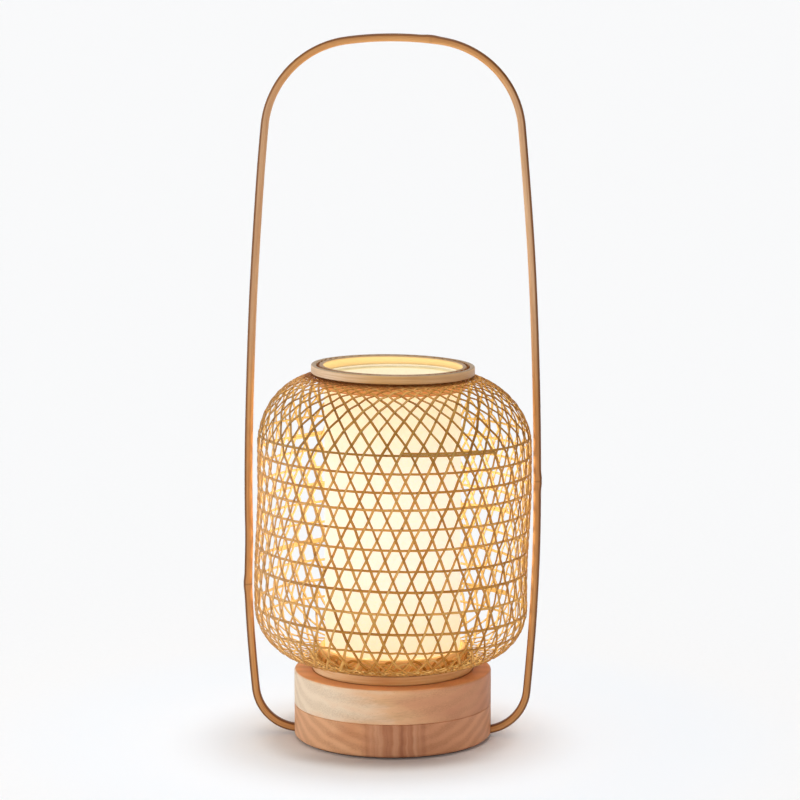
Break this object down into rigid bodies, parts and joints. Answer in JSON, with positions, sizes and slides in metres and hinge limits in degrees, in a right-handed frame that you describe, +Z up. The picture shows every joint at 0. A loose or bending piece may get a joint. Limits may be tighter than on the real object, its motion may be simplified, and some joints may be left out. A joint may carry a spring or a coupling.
{
  "type": "table lantern",
  "caption": "Table lantern lamp: open-weave bamboo shade and inner diffuser sleeve on a round two-tone wooden base, inside a tall bent carrying handle.",
  "frame": {"origin": "centre of the base where it meets the table", "axes": "+Z up; the carrying handle stands in the XZ plane; the cord gland is at the back, on +Y"},
  "size_m": [0.2316, 0.2148, 0.55],
  "materials": {
    "felt": "pressed felt",
    "fibreboard": "raw fibreboard",
    "screw_steel": "zinc plated",
    "base_wood_red": "oiled, warm red-brown with streaked grain",
    "base_wood_pale": "oiled, pale",
    "black_rubber": "matt",
    "handle_bamboo": "satin lacquered bamboo with nodes",
    "terminal_plastic": "moulded",
    "stem_steel": "yellow passivated",
    "plywood": "sanded plywood",
    "hoop_bamboo": "split bamboo, satin",
    "weave_bamboo": "split bamboo strips, satin",
    "diffuser_sheet": "translucent cream sheet",
    "wire_steel": "white coated wire",
    "holder_plastic": "moulded",
    "ceramic_core": "glazed",
    "contact_brass": "bright",
    "solder": "solder",
    "black_glass": "black glass",
    "cap_nickel": "nickel plated",
    "bulb_plastic": "white moulded",
    "board_white": "white solder mask",
    "bulb_frost": "frosted diffuser",
    "lead_brown": "insulated lead",
    "lead_blue": "insulated lead"
  },
  "bodies": {
    "lamp_body": {"bottom_felt_pad": "felt", "bottom_cover": "fibreboard", "cover_screws": "screw_steel", "base_lower_block": "base_wood_red", "base_upper_block": "base_wood_pale", "base_screws": "screw_steel", "cord_gland": "black_rubber", "handle_strip": "handle_bamboo", "handle_screws": "screw_steel", "terminal_block": "terminal_plastic", "threaded_tube": "stem_steel", "tube_washer": "stem_steel", "tube_lower_nut": "stem_steel", "tube_upper_nut": "stem_steel", "shade_floor": "plywood", "shade_floor_screws": "screw_steel", "lower_outer_hoop": "hoop_bamboo", "lower_inner_hoop": "hoop_bamboo", "top_outer_hoop": "hoop_bamboo", "top_inner_hoop": "hoop_bamboo", "woven_shade": "weave_bamboo", "lampholder_cap": "holder_plastic", "lampholder_skirt": "holder_plastic", "lampholder_core": "ceramic_core", "lampholder_contact": "contact_brass", "lampholder_screw_shell": "contact_brass", "live_lead": "lead_brown", "neutral_lead": "lead_blue"},
    "diffuser": {"diffuser_sleeve": "diffuser_sheet", "diffuser_lower_wire": "wire_steel", "diffuser_upper_wire": "wire_steel"},
    "bulb_contact": {"bulb_tip": "solder"},
    "bulb": {"bulb_insulator": "black_glass", "bulb_screw_cap": "cap_nickel", "bulb_housing": "bulb_plastic", "bulb_light_board": "board_white", "bulb_globe": "bulb_frost"}
  },
  "joints": [
    {"name": "diffuser_lift", "type": "slide", "parent": "lamp_body", "child": "diffuser", "axis": [0, 0, 1], "range_m": [0, 0.24]},
    {"name": "bulb_lift", "type": "slide", "parent": "lamp_body", "child": "bulb_contact", "axis": [0, 0, 1], "range_m": [0, 0.0128]},
    {"name": "bulb_turn", "type": "hinge", "parent": "bulb_contact", "child": "bulb", "pos_m": [0, 0, 0.0915], "axis": [0, 0, 1], "range_deg": [0, 1260]}
  ],
  "couplings": [
    {"joint": "bulb_lift", "follows": "bulb_turn", "m_per_rad": 0.0005775}
  ]
}
